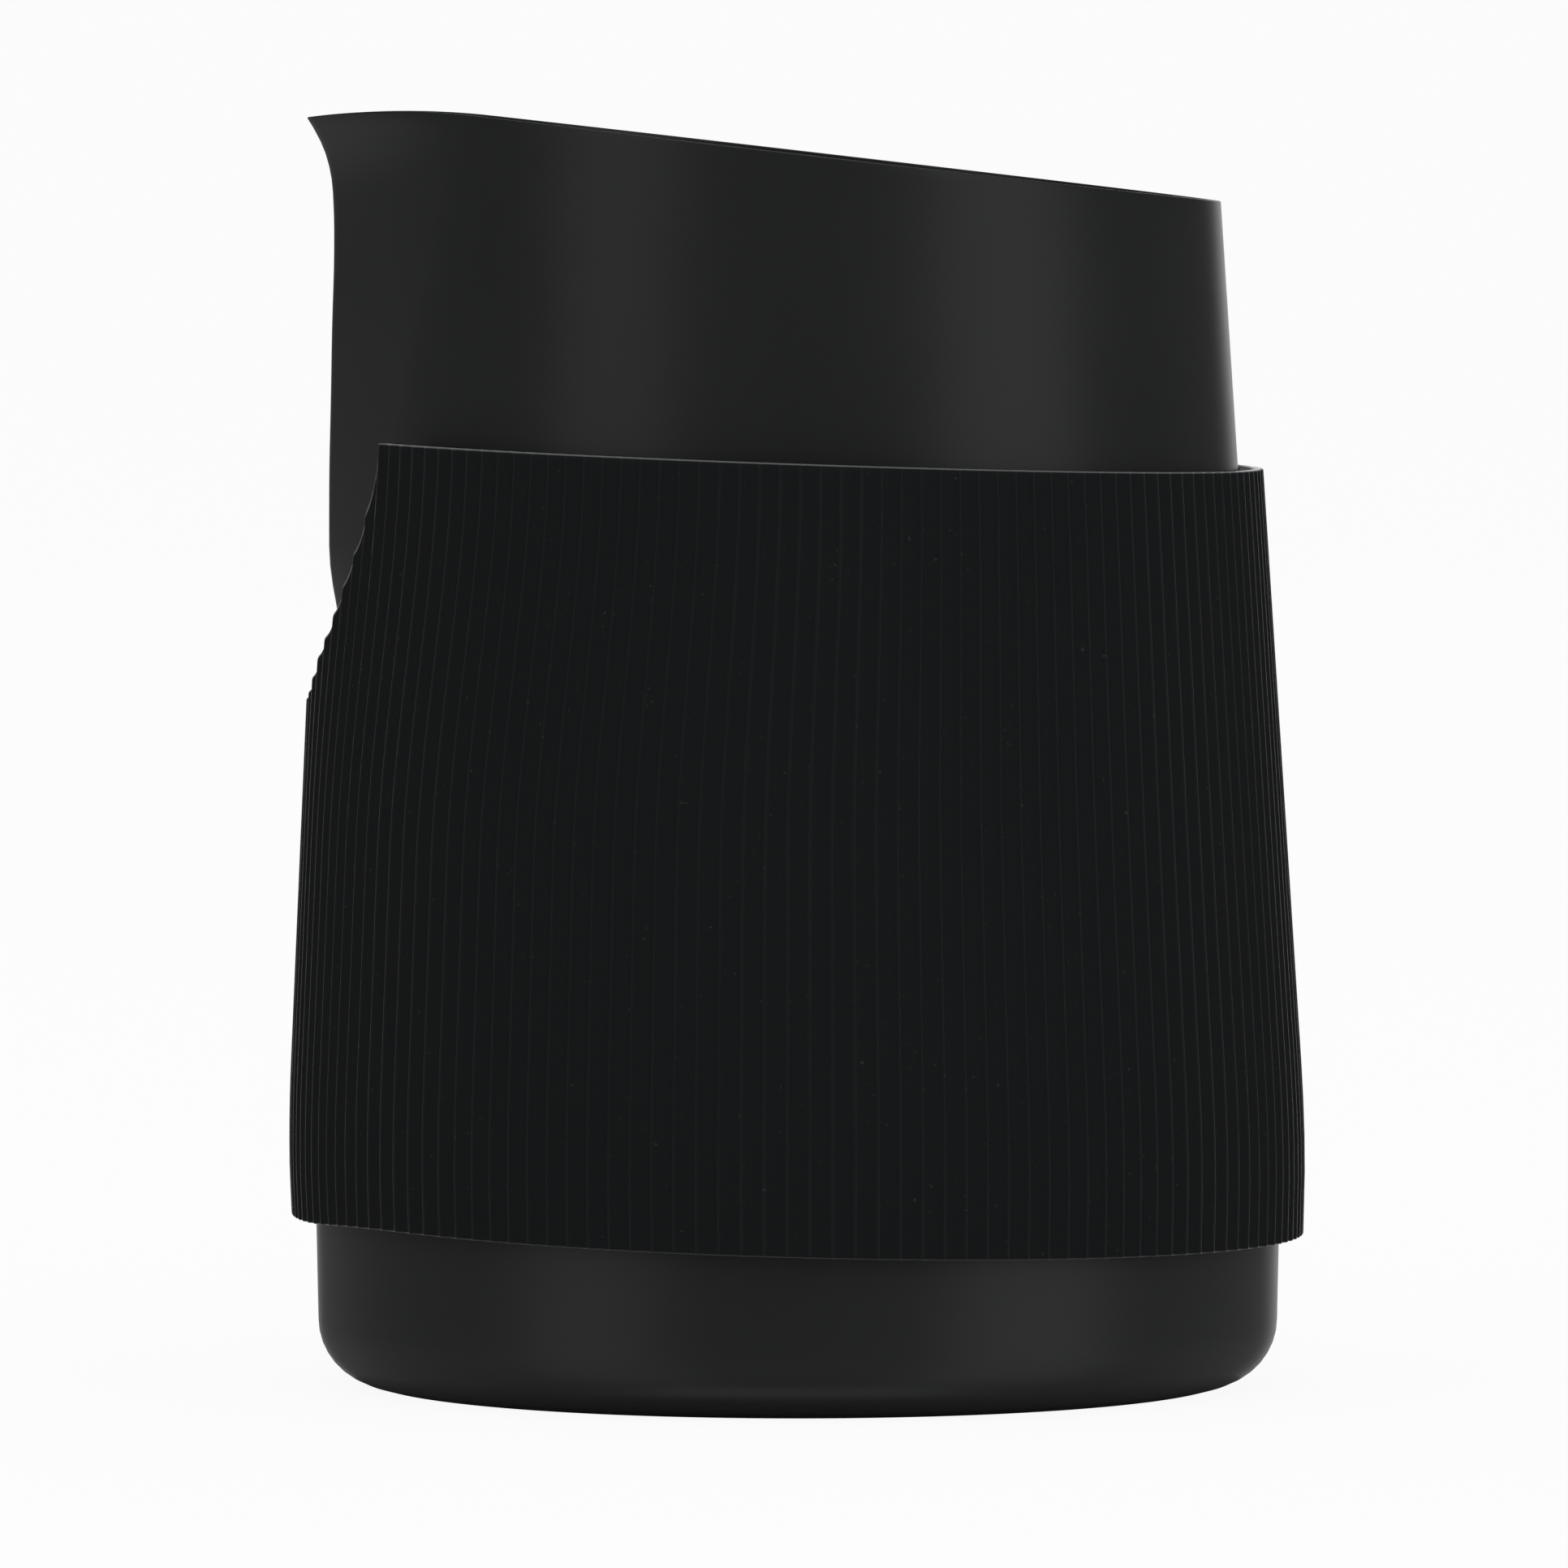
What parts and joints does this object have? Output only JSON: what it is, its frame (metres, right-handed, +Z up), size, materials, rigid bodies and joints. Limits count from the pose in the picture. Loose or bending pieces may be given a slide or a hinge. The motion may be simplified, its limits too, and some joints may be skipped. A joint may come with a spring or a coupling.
{
  "type": "milk frothing pitcher",
  "caption": "Handleless steel frothing pitcher with a slanted rim and a pressed pouring spout, in a ribbed silicone grip sleeve that pulls off.",
  "frame": {"origin": "centre of the base, on the surface that the pitcher stands on", "axes": "+Z up along the vessel's axis, the spout towards -X"},
  "size_m": [0.0848, 0.0848, 0.1059],
  "materials": {
    "coated_steel": "matte black powder coat outside, bare satin stainless steel inside",
    "silicone": "matte black moulded silicone with fine upright ribs"
  },
  "bodies": {
    "pitcher": {"pitcher_body": "coated_steel"},
    "sleeve": {"grip_sleeve": "silicone"}
  },
  "joints": [
    {"name": "sleeve_lift", "type": "slide", "parent": "pitcher", "child": "sleeve", "axis": [-0.04, 0, 0.9992], "range_m": [0, 0.1]}
  ]
}
